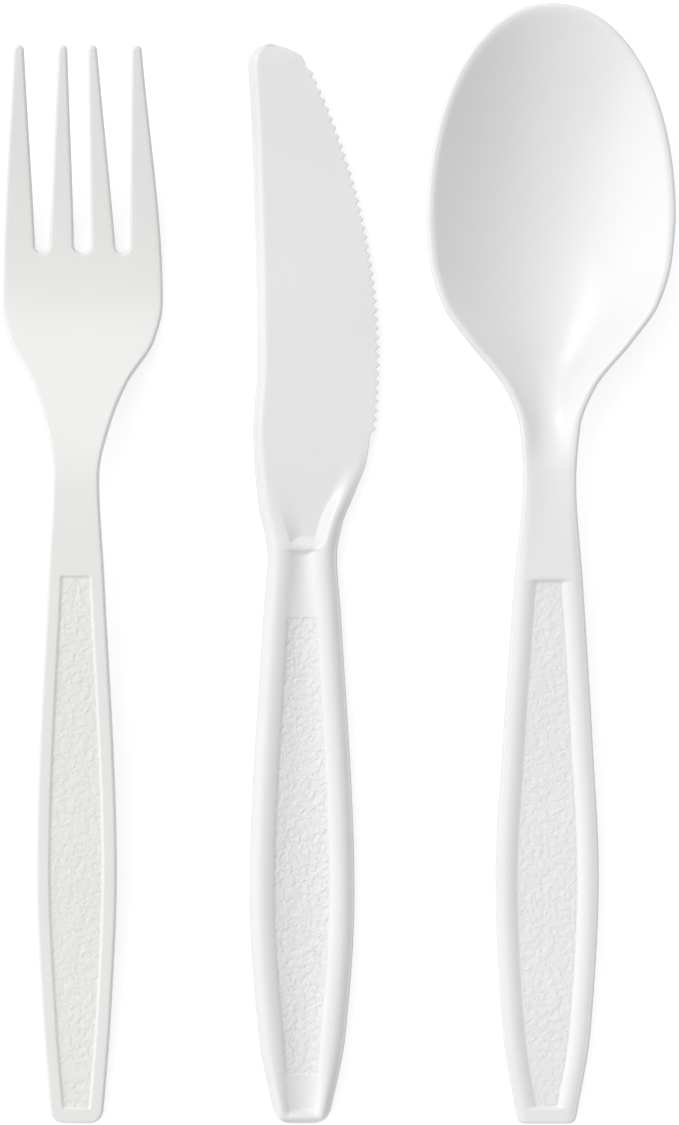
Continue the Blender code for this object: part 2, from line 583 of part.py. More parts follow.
def spoon(collection):
    """Spoon with a sunk handle panel, a dished neck and a deep oval bowl that rests on the table."""
    panel_start = SPOON_END_RIM
    panel_end = panel_start + SPOON_PANEL_LENGTH
    neck = panel_end + SPOON_NECK_LENGTH
    middle = neck + SPOON_SHOULDER_LENGTH
    tip = middle + SPOON_BOWL_FRONT

    shoulder_at, shoulder = swell(SPOON_SHOULDER_CURVE, neck, middle, SPOON_NECK_WIDTH, SPOON_BOWL_WIDTH)
    handle_at = panel_start + np.cumsum([SPOON_TAPER_SPAN, SPOON_GRIP_SPAN, SPOON_WAIST_SPAN])
    stations = [0.0, *handle_at, panel_end] + shoulder_at
    widths = [SPOON_END_WIDTH, SPOON_TAPER_WIDTH, SPOON_GRIP_WIDTH, SPOON_WAIST_WIDTH,
              SPOON_PANEL_TOP_WIDTH] + shoulder

    rounding = SPOON_EDGE_RADIUS
    corner = inner_corner(SPOON_CORNER_RADIUS, rounding)
    rows = gather_rows(
        rounding + np.array(CORNER_ROWS) * corner, [panel_start],
        np.linspace(panel_start + SPOON_PANEL_SLOPE, panel_end - SPOON_PANEL_SLOPE, 10),
        np.linspace(panel_end, neck, 5), np.linspace(neck, middle, 14))
    outline = smooth(stations, widths, rows) / 2
    half = inset_side(outline, rows, rounding) - corner_inset(rows - rounding, corner)

    # Handle lanes: a spread to the foot of the panel's slope, its top, the crest of the rim and the edge.
    foot = np.maximum(outline - SPOON_RIM_WIDTH, LEAST_PANEL_SHARE * half)
    slope_top = np.minimum(foot + SPOON_PANEL_SLOPE, MOST_PANEL_SHARE * half)
    crest = (slope_top + half) / 2
    handle = [foot * share for share in (0.0, 0.25, 0.5, 0.75, 1.0)] + [slope_top, crest, half]
    # Bowl lanes: the lip, and an even spread inside it.
    inside = half - max(SPOON_LIP_WIDTH - rounding, LEAST_LIP_SHARE * SPOON_LIP_WIDTH)
    bowl = [inside * share for share in np.linspace(0.0, 1.0, 7)] + [half]
    to_bowl = ease(panel_end, neck + BOWL_LANES_SHARE * SPOON_SHOULDER_LENGTH, rows)
    right = np.array([a + (b - a) * to_bowl for a, b in zip(handle, bowl)]).T
    x_back = np.concatenate([-right[:, :0:-1], right], axis=1)
    y_back = np.repeat(rows[:, None], x_back.shape[1], axis=1)

    # The front of the bowl: a square grid drawn out to the oval of the lip.
    u = x_back[-1] / half[-1]
    lip_share = 1 - SPOON_LIP_WIDTH / SPOON_BOWL_FRONT
    v = np.append(np.linspace(0.0, lip_share, 9)[1:], 1.0)
    u, v = np.meshgrid(u, v)
    across, ahead = u * np.sqrt(1 - v**2 / 2), v * np.sqrt(1 - u**2 / 2)
    squarer = np.hypot(across, ahead) / (np.abs(across) ** OVAL_POWER + ahead**OVAL_POWER) ** (1 / OVAL_POWER)
    x = np.concatenate([x_back, across * squarer * half[-1]])
    y = np.concatenate([y_back, middle + ahead * squarer * (SPOON_BOWL_FRONT - rounding)])

    def hollow(lip, floor):
        """Share of the depth at each point, for the hollow inside this width of lip."""
        forward = np.clip(y - middle, 0.0, None) / (SPOON_BOWL_FRONT - lip)
        width = smooth(stations, widths, np.minimum(y, middle)) / 2
        sideways = np.abs(x) / np.maximum(width - lip, LEAST_PANEL_SHARE * width)
        back = smooth(*zip(*BOWL_BACK_CURVE), 1 - np.clip((middle - y) / SPOON_SHOULDER_LENGTH, 0.0, 1.0))
        behind = np.maximum(back, floor) * (1 - sideways**OVAL_POWER)
        ahead = 1 - sideways**OVAL_POWER - forward**OVAL_POWER
        return np.clip(np.where(y > middle, ahead, behind), 0.0, 1.0)

    rim_height = SPOON_BOWL_DEPTH + SPOON_BOWL_WALL
    rise = smooth(
        [0.0, panel_end, neck, middle, tip],
        [SPOON_HANDLE_THICKNESS, SPOON_HANDLE_THICKNESS + SPOON_HANDLE_RISE,
         SPOON_NECK_THICKNESS + SPOON_NECK_RISE, rim_height, rim_height + SPOON_TIP_RISE], y)
    thickness = smooth(
        [0.0, panel_end, neck, neck + THIN_WALL_SHARE * SPOON_SHOULDER_LENGTH, tip],
        [SPOON_HANDLE_THICKNESS, SPOON_HANDLE_THICKNESS, SPOON_NECK_THICKNESS, SPOON_LIP_HEIGHT,
         SPOON_LIP_HEIGHT], y)
    past_neck = ease(panel_end, neck, y)
    panel_foot = np.concatenate([foot, np.full(len(y) - len(rows), foot[-1])])[:, None]
    sunk = sunk_panel(x, y, panel_foot, panel_start + SPOON_PANEL_SLOPE, panel_end - SPOON_PANEL_SLOPE,
                      SPOON_PANEL_SLOPE)
    dish = SPOON_NECK_DISH / SPOON_BOWL_DEPTH
    top = rise - SPOON_RECESS * sunk - SPOON_BOWL_DEPTH * past_neck * hollow(SPOON_LIP_WIDTH, dish)
    belly = rim_height - SPOON_LIP_HEIGHT
    under = rise - thickness + SPOON_POCKET * sunk - belly * hollow(0.0, 0.0)

    bm = bmesh.new()
    lay_sheet(bm, x, y, top)
    lay_sheet(bm, x, y, under)
    path = tuple(np.array(walk_round(*x.shape)).T)
    lay_wall(bm, x[path], y[path], top[path], under[path], rounding)
    return finish_piece("spoon", bm, KNIFE_TO_SPOON, SPOON_END_DROP, SPOON_TURN, collection)


def centre_row(pieces):
    """Move the whole row so that the origin lies under the middle of the box around it."""
    bpy.context.view_layer.update()
    places = np.array([piece.matrix_world @ vert.co for piece in pieces for vert in piece.data.vertices])
    middle = (places.min(axis=0) + places.max(axis=0)) / 2
    for piece in pieces:
        piece.location.x -= middle[0]
        piece.location.y -= middle[1]


for old in list(bpy.data.objects):
    bpy.data.objects.remove(old)
parts = bpy.data.collections.new(PARTS_COLLECTION)
bpy.context.scene.collection.children.link(parts)
centre_row([fork(parts), knife(parts), spoon(parts)])
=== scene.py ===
"""A fork, a knife and a spoon of white moulded plastic, lying side by side on a white table.

Metres, Z up, in the frame of the solids: +Y runs along the pieces from their handle ends, and the
table is at Z = 0. Each piece is drawn with its handle end at Y = 0 and its axis at X = 0, and is then
turned and set where its solid lies.
"""

import math

import bpy
import numpy as np
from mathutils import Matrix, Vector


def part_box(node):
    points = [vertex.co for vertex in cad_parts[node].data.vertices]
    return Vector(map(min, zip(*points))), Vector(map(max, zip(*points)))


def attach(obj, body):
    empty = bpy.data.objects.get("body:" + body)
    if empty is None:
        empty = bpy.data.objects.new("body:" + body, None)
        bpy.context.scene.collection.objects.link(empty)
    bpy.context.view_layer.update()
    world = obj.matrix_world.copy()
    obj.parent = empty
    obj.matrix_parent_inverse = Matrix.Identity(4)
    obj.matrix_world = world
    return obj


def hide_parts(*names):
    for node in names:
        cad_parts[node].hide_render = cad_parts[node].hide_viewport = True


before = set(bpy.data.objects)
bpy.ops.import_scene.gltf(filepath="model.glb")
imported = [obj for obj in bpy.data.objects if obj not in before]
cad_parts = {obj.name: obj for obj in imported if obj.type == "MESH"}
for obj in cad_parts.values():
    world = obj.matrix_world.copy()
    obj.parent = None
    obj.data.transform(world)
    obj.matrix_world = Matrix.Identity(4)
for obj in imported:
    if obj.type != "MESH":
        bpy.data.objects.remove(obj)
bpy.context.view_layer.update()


# The fork: one injection moulding of glossy white plastic, about two millimetres thick. A flat rim
# runs round a sunk pebbled panel in the handle, the neck arches up, and four tines curve to their tips.


def curve_through(knots, at):
    """Smooth line through the knots, each a place and a value, level at each crest.

    Between two knots, with t from 0 to 1, gap g, values v and slopes m:
    (1 - 3t² + 2t³) v0 + (3t² - 2t³) v1 + g (t³ - 2t² + t) m0 + g (t³ - t²) m1.
    The slope at a knot is the weighted harmonic mean of the two chords that meet there.
    """
    places, values = np.array(knots, float).T
    gaps = np.diff(places)
    chords = np.diff(values) / gaps
    slopes = np.concatenate(([chords[0]], np.zeros(len(gaps) - 1), [chords[-1]]))
    same_way = chords[:-1] * chords[1:] > 0
    before, after = 2 * gaps[1:] + gaps[:-1], gaps[1:] + 2 * gaps[:-1]
    product = np.where(same_way, chords[:-1] * chords[1:], 1.0)
    mean = (before + after) * product / (before * chords[1:] + after * chords[:-1] + (~same_way))
    slopes[1:-1] = np.where(same_way, mean, 0.0)
    span = np.clip(np.searchsorted(places, at, side="right") - 1, 0, len(gaps) - 1)
    t = (at - places[span]) / gaps[span]
    blend = (1 - 3 * t**2 + 2 * t**3) * values[span] + (3 * t**2 - 2 * t**3) * values[span + 1]
    bend = (t**3 - 2 * t**2 + t) * slopes[span] + (t**3 - t**2) * slopes[span + 1]
    return blend + gaps[span] * bend


def soft_curve(knots, at, reach):
    """The same line with its bends eased: the mean of its values over a reach to each side.

    Near the first and last knot the reach shrinks to the distance left.
    """
    reach = np.clip(np.minimum(at - knots[0][0], knots[-1][0] - at), 0.0, reach)
    shares = np.linspace(-1.0, 1.0, 9)
    return np.mean([curve_through(knots, at + reach * share) for share in shares], axis=0)


def ease(start, stop, at):
    """Nought before start, one after stop, and t²(3 - 2t) between them."""
    t = np.clip((at - start) / (stop - start), 0.0, 1.0)
    return t * t * (3 - 2 * t)


def swell(shares, start, stop, low, high):
    """Knots of a curve of shares, set between two places and two values."""
    return [(start + along * (stop - start), low + up * (high - low)) for along, up in shares]


def stations(start, *stretches):
    """Places along a piece from its start: each stretch is a length and a step, and is cut evenly."""
    places = [np.array([start])]
    for length, step in stretches:
        count = max(1, round(length / step))
        places.append(places[-1][-1] + length * np.arange(1, count + 1) / count)
    return np.concatenate(places)


def round_corner(radius, count=8):
    """Rows that follow a rounded corner, r(1 - cos a) from its end, with a from 0 to 90 degrees."""
    return radius * (1 - np.cos(np.linspace(0.0, math.pi / 2, count)))


def corner_inset(distance, radius):
    """How far a side has drawn in near an end with rounded corners: r - sqrt(r² - (r - d)²)."""
    reach = np.clip(radius - distance, 0.0, radius)
    return radius - np.sqrt(radius**2 - reach**2)


def within_edge(half, edge, rows):
    """Half width where the flat stops and the rounded edge starts: h - r sqrt(1 + slope²)."""
    return half - edge * np.hypot(1.0, np.gradient(half, rows))


def pebbles(x, y, size, seed):
    """Moulded grain from -1 to 1: random heights on a lattice of this size, eased between its corners.

    A second lattice of half the size adds half as much. The heights repeat after a period of cells.
    """
    period = 256
    heights = np.random.default_rng(seed).uniform(-1.0, 1.0, (period, period))
    grain = np.zeros_like(x)
    for share, cell in ((0.67, size), (0.33, size / 2)):
        column, row = np.floor(x / cell), np.floor(y / cell)
        s, t = ease(0.0, 1.0, x / cell - column), ease(0.0, 1.0, y / cell - row)
        i, j = column.astype(int) % period, row.astype(int) % period
        next_i, next_j = (i + 1) % period, (j + 1) % period
        low = heights[i, j] + (heights[next_i, j] - heights[i, j]) * s
        high = heights[i, next_j] + (heights[next_i, next_j] - heights[i, next_j]) * s
        grain += share * (low + (high - low) * t)
    return grain


def walk_outline(rows, lanes, slots=(), root_row=0):
    """Row and lane of each grid point on one turn round the outline, in and out of each slot."""
    last_row, last_lane = rows - 1, lanes - 1
    corners = [(0, 0), (0, last_lane), (last_row, last_lane)]
    for first, last in reversed(slots):
        corners += [(last_row, last), (root_row, last), (root_row, first), (last_row, first)]
    corners += [(last_row, 0), (0, 0)]
    legs = []
    for start, stop in zip(np.array(corners[:-1]), np.array(corners[1:])):
        steps = np.abs(stop - start).max()
        legs.append(start + np.sign(stop - start) * np.arange(steps)[:, None])
    return tuple(np.concatenate(legs).T)


def lay_moulding(name, node, turn, x, y, top, under, rounding, pebbled, slots=(), root_row=0):
    """Closed moulding: a top sheet, an underside sheet and a wall that swells out between their rims.

    The wall follows a quarter round of radius r above and below, square to the outline in plan:
    out = r sin a and down = r (1 - cos a), with a from 0 to 90 degrees. The two rounds take nearly all
    of the wall where it is thin. A slot is open from its root row to the tips, between its two lanes.
    Pebbled is a pair of shares, of the top sheet and of the underside, that the material reads. The
    mesh is turned on the table and moved so that its box stands where the node's box does.
    """
    rows, lanes = x.shape
    index = np.arange(rows * lanes).reshape(rows, lanes)
    cells = np.stack([index[:-1, :-1], index[:-1, 1:], index[1:, 1:], index[1:, :-1]], axis=-1)
    closed = np.ones((rows - 1, lanes - 1), bool)
    for first, last in slots:
        closed[root_row:, first:last] = False
    cells = cells[closed]

    loop = walk_outline(rows, lanes, slots, root_row)
    rim_x, rim_y, rim_top, rim_under = x[loop], y[loop], top[loop], under[loop]
    along_x = np.roll(rim_x, -1) - np.roll(rim_x, 1)
    along_y = np.roll(rim_y, -1) - np.roll(rim_y, 1)
    length = np.hypot(along_x, along_y)
    nearly_half = 0.48
    rounding = np.broadcast_to(rounding, x.shape)[loop]
    rounding = np.minimum(rounding, nearly_half * (rim_top - rim_under))
    angle = np.linspace(0.0, math.pi / 2, 6)[1:, None]
    out, down = rounding * np.sin(angle), rounding * (1 - np.cos(angle))
    out = np.concatenate([out, out[::-1]])
    wall_z = np.concatenate([rim_top - down, rim_under + down[::-1]])
    wall_x, wall_y = rim_x + out * along_y / length, rim_y - out * along_x / length

    count, around = rows * lanes, len(rim_x)
    rings = [2 * count + around * ring + np.arange(around) for ring in range(len(out))]
    rings = np.array([index[loop]] + rings + [count + index[loop]])
    upper, lower = rings[:-1], rings[1:]
    wall = np.stack([upper, lower, np.roll(lower, -1, axis=1), np.roll(upper, -1, axis=1)], axis=-1)
    faces = np.concatenate([cells, cells[:, ::-1] + count, wall.reshape(-1, 4)])

    sheets = [np.stack([x, y, z], axis=-1).reshape(-1, 3) for z in (top, under)]
    points = np.concatenate(sheets + [np.stack([wall_x, wall_y, wall_z], axis=-1).reshape(-1, 3)])
    grain = np.concatenate([np.ravel(pebbled), np.zeros(wall_x.size)])
    used, faces = np.unique(faces, return_inverse=True)
    points, grain, faces = points[used], grain[used], faces.reshape(-1, 4)

    cos, sin = math.cos(turn), math.sin(turn)
    points[:, :2] = points[:, :2] @ np.array([[cos, sin], [-sin, cos]])
    low, high = np.array(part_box(node))
    points += (low + high) / 2 - (points.min(axis=0) + points.max(axis=0)) / 2
    points[:, 2] += low[2] - points[:, 2].min()

    mesh = bpy.data.meshes.new(name)
    mesh.vertices.add(len(points))
    mesh.vertices.foreach_set("co", points.ravel())
    mesh.loops.add(faces.size)
    mesh.loops.foreach_set("vertex_index", faces.ravel())
    mesh.polygons.add(len(faces))
    mesh.polygons.foreach_set("loop_start", np.arange(0, faces.size, 4))
    mesh.update(calc_edges=True)
    mesh.attributes.new("pebbled", "FLOAT", "POINT").data.foreach_set("value", grain)
    mesh.shade_smooth()
    piece = bpy.data.objects.new(name, mesh)
    bpy.context.scene.collection.objects.link(piece)
    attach(piece, "root")
    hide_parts(node)
    return piece


def maths(tree, operation, *values):
    """What a math node gives. Each value is a number or what another node gives."""
    node = tree.nodes.new("ShaderNodeMath")
    node.operation = operation
    for socket, value in zip(node.inputs, values):
        if isinstance(value, bpy.types.NodeSocket):
            tree.links.new(value, socket)
        else:
            socket.default_value = value
    return node.outputs["Value"]


def noise(tree, place, scale, detail, roughness=0.5, distortion=0.0):
    """Soft random lumps from nought to one, with scale of them to a metre."""
    node = tree.nodes.new("ShaderNodeTexNoise")
    node.inputs["Scale"].default_value = scale
    node.inputs["Detail"].default_value = detail
    node.inputs["Roughness"].default_value = roughness
    node.inputs["Distortion"].default_value = distortion
    tree.links.new(place, node.inputs["Vector"])
    return node.outputs["Fac"]


def bump(tree, height, distance, over=None):
    """The way the surface faces where a height of one stands out by a distance, over another bump."""
    node = tree.nodes.new("ShaderNodeBump")
    node.inputs["Strength"].default_value = 1.0
    node.inputs["Distance"].default_value = distance
    tree.links.new(height, node.inputs["Height"])
    if over is not None:
        tree.links.new(over, node.inputs["Normal"])
    return node.outputs["Normal"]


def white_plastic(name, white, shift, grain_height):
    """Glossy white plastic: an even white, a faint waviness from the mould, and a duller pebbled panel.

    The shift moves the patterns along, so that no two pieces have the same ones.
    """
    material = bpy.data.materials.new(name)
    material.use_nodes = True
    tree = material.node_tree
    shader = tree.nodes["Principled BSDF"]
    shader.inputs["IOR"].default_value = 1.55
    place = tree.nodes.new("ShaderNodeTexCoord")
    mapping = tree.nodes.new("ShaderNodeMapping")
    mapping.inputs["Location"].default_value = (shift, shift, 0.0)
    tree.links.new(place.outputs["Object"], mapping.inputs["Vector"])
    place = mapping.outputs["Vector"]

    # Colour: the white is a little darker and lighter along the moulding, as the plastic flowed.
    tint = tree.nodes.new("ShaderNodeValToRGB")
    for stop, position, share in zip(tint.color_ramp.elements, (0.3, 0.7), (0.988, 1.012)):
        stop.position = position
        stop.color = [share * part for part in white] + [1.0]
    tree.links.new(noise(tree, place, scale=45.0, detail=2.0), tint.inputs["Fac"])
    tree.links.new(tint.outputs["Color"], shader.inputs["Base Color"])

    # Gloss: bright on the smooth skin, duller in the pebbled panel.
    grained = tree.nodes.new("ShaderNodeAttribute")
    grained.attribute_name = "pebbled"
    dull = tree.nodes.new("ShaderNodeMapRange")
    dull.inputs["To Min"].default_value = 0.21
    dull.inputs["To Max"].default_value = 0.42
    tree.links.new(grained.outputs["Fac"], dull.inputs["Value"])
    tree.links.new(dull.outputs["Result"], shader.inputs["Roughness"])

    # Surface: a slow ripple all over, and the leather grain of the mould on the panel.
    ripple = bump(tree, noise(tree, place, scale=120.0, detail=1.0), distance=0.00003)
    leather = tree.nodes.new("ShaderNodeMapRange")
    leather.interpolation_type = "SMOOTHSTEP"
    leather.inputs["From Min"].default_value = 0.35
    leather.inputs["From Max"].default_value = 0.62
    lumps = noise(tree, place, scale=1000.0, detail=1.5, roughness=0.45, distortion=0.8)
    tree.links.new(lumps, leather.inputs["Value"])
    on_panel = maths(tree, "MULTIPLY", leather.outputs["Result"], grained.outputs["Fac"])
    grain = bump(tree, on_panel, distance=grain_height, over=ripple)
    tree.links.new(grain, shader.inputs["Normal"])
    return material


# How the fork is turned, and places along it: its panel, its neck, its widest place, the roots of its
# slots and its tips. Then half widths, and how thick the plastic is.
fork_turn = math.radians(-0.38)
fork_panel_start, fork_panel_end = 0.0026, 0.0913
fork_neck, fork_head, fork_root, fork_tip = 0.1078, 0.1370, 0.1453, 0.1780
fork_neck_half, fork_head_half, fork_root_half, fork_tip_half = 0.00375, 0.0134, 0.01322, 0.0104
fork_handle_skin, fork_head_skin, fork_tip_skin = 0.0022, 0.0017, 0.0011

# The flat rim, its rounded edge, which takes at most a share of the thickness, and the end's corners.
# The panel's depth, the pocket's, the wall round them and the grain.
fork_rim, fork_edge, edge_share, fork_corner = 0.00245, 0.0005, 0.45, 0.0021
fork_recess, fork_pocket, fork_wall = 0.00035, 0.0009, 0.00045
fork_grain, fork_grain_size, grain_step = 0.00005, 0.0007, 0.0002

# The slots at their roots, the two tines' shares of what is left, where they stand at the tips, the
# tips' rounding, and the reaches over which the rows fan out to the roots and the arch is eased.
middle_slot, middle_slot_flare, outer_slot = 0.0028, 0.0003, 0.0023
inner_tine_share, outer_tine_share = 0.44, 0.56
inner_tip_outside, outer_tip_inside = 0.0031, 0.0088
tip_round, tip_closing = 0.00030, 0.97
root_fan, arch_softness = 0.007, 0.002

# The outline, the rise of the underside and the thickness, each as places and values.
fork_half_width = [(0.0, 0.00425), (0.018, 0.00565), (0.042, 0.00665), (fork_panel_end, 0.0046)]
fork_half_width += swell(((0.0, 0.0), (0.31, 0.18), (0.53, 0.42), (0.79, 0.87), (1.0, 1.0)),
                         fork_neck, fork_head, fork_neck_half, fork_head_half)
fork_half_width += [(fork_tip, fork_tip_half)]
fork_rise = [(0.0, 0.0), (fork_panel_end, 0.0073), (fork_neck, 0.0085), (fork_head, 0.0),
             (fork_tip, 0.0114)]
fork_thickness = [(0.0, fork_handle_skin), (fork_neck, fork_handle_skin),
                  (fork_head, fork_head_skin), (fork_tip, fork_tip_skin)]

# Rows: close together over the panel for its grain, at the corners, round the slots and at the tips.
# Each pair of the stations is a length and the step that it is cut into.
arc, tip_edge = outer_slot / 2, edge_share * fork_tip_skin
tip_start = fork_tip - tip_edge - tip_round
rows = np.concatenate([
    fork_edge + round_corner(fork_corner - fork_edge),
    stations(fork_corner,
             (fork_panel_start - fork_wall - fork_corner, 0.0003), (2 * fork_wall, 0.00009),
             (fork_panel_end - fork_panel_start - 2 * fork_wall, grain_step), (2 * fork_wall, 0.00009),
             (fork_neck - fork_panel_end - fork_wall, 0.0008), (fork_head - fork_neck, 0.0007),
             (fork_root - fork_head - arc, 0.0004), (2 * arc, 0.0008),
             (tip_start - fork_root - arc, 0.0009))[1:],
    tip_start + tip_round * np.sin(np.linspace(0.0, math.pi / 2, 6))[1:]])
edge = np.minimum(fork_edge, edge_share * curve_through(fork_thickness, rows))
half = curve_through(fork_half_width, rows)
inner = within_edge(half, edge, rows) - corner_inset(rows - fork_edge, fork_corner - fork_edge)

# Lanes of the handle: even over the panel, close together over its wall, then out over the rim.
foot = np.minimum(half - fork_rim, inner - 2 * fork_wall)
wall_lanes = foot + fork_wall * np.linspace(-0.5, 1.5, 7)[:, None]
handle = np.concatenate([
    (foot - 0.5 * fork_wall) * np.linspace(0.0, 1.0, 18)[:-1, None], wall_lanes,
    wall_lanes[-1] + (inner - wall_lanes[-1]) * np.linspace(0.0, 1.0, 8)[1:, None]])

# Lanes of the head: 6 over the middle slot's half, 8 over a tine, 8 over a slot and 8 over a tine.
# Each tine's end is a half round, so its lanes draw together over the last rows.
share = np.clip((rows - fork_root) / (fork_tip - fork_root), 0.0, 1.0)
tines_at_root = fork_root_half - middle_slot / 2 - outer_slot
inner_root = middle_slot / 2 + inner_tine_share * tines_at_root
outer_root = fork_root_half - outer_tine_share * tines_at_root
outer = np.where(rows > fork_root, half, fork_root_half)
edges = [middle_slot / 2 + middle_slot_flare * share + edge,
         inner_root + (inner_tip_outside - inner_root) * share - edge,
         outer_root + (outer_tip_inside - outer_root) * share + edge, outer - edge]
drawn = 1 - np.sqrt(1 - tip_closing * np.clip((rows - tip_start) / tip_round, 0.0, 1.0) ** 2)
for inside, outside in ((0, 1), (2, 3)):
    narrower = (edges[outside] - edges[inside]) / 2 * drawn
    edges[inside], edges[outside] = edges[inside] + narrower, edges[outside] - narrower
lane_steps = np.linspace(0.0, 1.0, 9)[1:, None]
root_steps = (1 - np.cos(np.linspace(0.0, math.pi, 9)))[1:, None] / 2
head = np.concatenate([
    edges[0] * np.sin(np.linspace(0.0, math.pi / 2, 7))[:, None],
    edges[0] + (edges[1] - edges[0]) * lane_steps, edges[1] + (edges[2] - edges[1]) * root_steps,
    edges[2] + (edges[3] - edges[2]) * lane_steps])
to_head = ease(fork_neck, fork_root - arc, rows)
right = ((1 - to_head) * handle + to_head * head * np.where(rows > fork_root, 1.0, inner / edges[3])).T
x = np.concatenate([-right[:, :0:-1], right], axis=1)
y = np.repeat(rows[:, None], x.shape[1], axis=1)

# The roots of the slots are half rounds, and the rows before them fan out to meet them. A slot is
# written as its first and last lane.
slots = [(8, 16), (24, 36), (44, 52)]
root_row = int(np.argmin(np.abs(rows - fork_root - arc)))
drop = np.zeros(x.shape[1])
for first, last in slots:
    middle = (x[root_row, first] + x[root_row, last]) / 2
    offset = (x[root_row, first:last + 1] - middle) / (x[root_row, last] - middle)
    drop[first:last + 1] = (arc + edge[root_row]) * np.sqrt(np.clip(1 - offset**2, 0.0, 1.0))
before_root = np.arange(len(rows)) <= root_row
fan = np.clip(1 - (rows[root_row] - rows) / root_fan, 0.0, 1.0) * before_root
y = y - fan[:, None] * drop

# Heights: the panel is sunk from above, with its grain, and a deeper pocket lightens it from below.
across = ease(-0.5, 0.5, (foot[:, None] + fork_wall / 2 - np.abs(x)) / fork_wall)
along = ease(-0.5, 0.5, np.minimum(y - fork_panel_start, fork_panel_end - y) / fork_wall)
sunk = across * along
rise, thickness = soft_curve(fork_rise, y, arch_softness), curve_through(fork_thickness, y)
top = rise + thickness - fork_recess * sunk + fork_grain * sunk * pebbles(x, y, fork_grain_size, 1)
under = rise + fork_pocket * sunk
fork = lay_moulding("fork_moulding", "fork", fork_turn, x, y, top, under, rounding=edge[:, None],
                    pebbled=(sunk, 0 * sunk), slots=slots, root_row=root_row)
fork.data.materials.append(
    white_plastic("fork_white", white=(0.816, 0.816, 0.802), shift=0.3, grain_height=0.00006))


# The knife: one moulding of the same plastic, alike on both faces. Two round rims run along the
# handle beside a dished pebbled panel, a cross rib ends it, and the blade has a bevelled spine and a
# saw edge of forty teeth.

# How the knife is turned, and places along it: the end's rim, the panel, the neck with the rib, where
# the rims sink into the blade, the first tooth, the last one and the tip. Then half widths.
knife_turn = math.radians(-0.03)
knife_end_rim, knife_panel_start, knife_panel_end, knife_neck = 0.0022, 0.0082, 0.0842, 0.0945
knife_bolster, knife_heel, knife_toothed, knife_tip = 0.0980, 0.1150, 0.1762, 0.1800
knife_neck_half, spine_at_heel = 0.0058, 0.0082

# The rounded edges and the end's corners, and half thicknesses from the rims to the saw edge.
knife_edge, saw_edge, knife_corner = 0.0004, 0.00012, 0.0027
rim_half, channel_half, rib_half, spine_half, saw_half = 0.0020, 0.0008, 0.0016, 0.0012, 0.0003

# The rims: widths, where their crests lie as a share of the width, and how far they fall to the foot.
end_rim_width, handle_rim_width, spine_rim_width, heel_rim_width = 0.0026, 0.0041, 0.0024, 0.0040
rims_widen_to, widest_rim_share, rim_crowding = 0.015, 0.4, 1.2
crest_share, spine_crest_share, heel_crest_share = 0.46, 0.70, 0.36
heel_crest_from, heel_crest_to = knife_neck - 0.004, knife_neck + 0.010
foot_fall, foot_softened = 0.53, 0.7

# The panel with its walls and grain, and the rib with its fillet.
panel_sink, panel_side_wall, panel_end_wall = 0.00015, 0.00012, 0.0002
knife_grain, knife_grain_size = 0.00007, 0.0008
rib_start, rib_flat, rib_fall = knife_neck + 0.0002, knife_neck + 0.0012, knife_neck + 0.0016
rib_margin, rib_fillet, rib_fillet_rise = 0.0003, 0.5, 0.0002

# The blade: its teeth, the bevel of its spine, and its point, which is a little flat at its end.
tooth_pitch, tooth_depth, steps_per_tooth = 0.00152, 0.00081, 4
bevel_depth, point_thinning = 0.0008, 0.4
point_length, point_flat, point_offset = knife_tip - knife_toothed - knife_edge, 0.0016, 0.0053
spine_oval, saw_oval = 2.2, 2.4

# The outline on the spine's side, and further down on the heel's, each as places and half widths.
handle_knots = [(0.0, 0.00435), (0.015, 0.0073), (0.038, 0.00875), (knife_panel_end, 0.0065)]
spine_knots = handle_knots + swell(((0.0, 0.0), (0.46, 0.69), (1.0, 1.0)),
                                   knife_neck, knife_heel, knife_neck_half, spine_at_heel)
spine_knots += [(0.1265, 0.00755), (0.165, 0.00845), (knife_toothed, 0.0091)]


def saw_line(at):
    """Line through the tooth roots: b - k (y - y0)², which bellies out and falls to the point."""
    belly, belly_at, last_root = 0.0121, 0.1270, 0.0005
    return belly - (belly - last_root) * ((at - belly_at) / (knife_toothed - belly_at)) ** 2


heel_knots = handle_knots + swell(((0.0, 0.0), (0.25, 0.15), (0.49, 0.49), (0.77, 0.87), (1.0, 1.0)),
                                  knife_neck, knife_heel, knife_neck_half, float(saw_line(knife_heel)))
rows = np.concatenate([
    knife_edge + round_corner(knife_corner - knife_edge, 9),
    stations(knife_corner,
             (knife_panel_start - knife_corner - panel_end_wall, 0.0003), (2 * panel_end_wall, 0.0001),
             (knife_panel_end - knife_panel_start - 2 * panel_end_wall, grain_step),
             (2 * panel_end_wall, 0.0001),
             (knife_neck - knife_panel_end - panel_end_wall - rib_margin, 0.0005),
             (knife_bolster - knife_neck + rib_margin, 0.00016), (knife_heel - knife_bolster, 0.0004),
             (knife_toothed - knife_heel, tooth_pitch / steps_per_tooth))[1:],
    knife_toothed + point_length * np.sin(np.linspace(0.0, math.pi / 2, 16))[1:]])

# The point: a quarter oval on the spine side, and a long fall from the last tooth on the other.
past = np.clip((rows - knife_toothed) / point_length, 0.0, 1.0)
left = -within_edge(curve_through(spine_knots, np.minimum(rows, knife_toothed)), knife_edge, rows)
left += (-point_offset - point_flat / 2 - left) * (1 - np.sqrt(1 - past**spine_oval))
heel = curve_through(heel_knots, np.minimum(rows, knife_heel))
right = np.where(rows > knife_heel, saw_line(np.minimum(rows, knife_toothed)), heel)
side_edge = knife_edge + (saw_edge - knife_edge) * ease(knife_bolster, knife_heel, rows)
right = within_edge(right, side_edge, rows)
right += (-point_offset + point_flat / 2 - right) * past**saw_oval
width = right - left

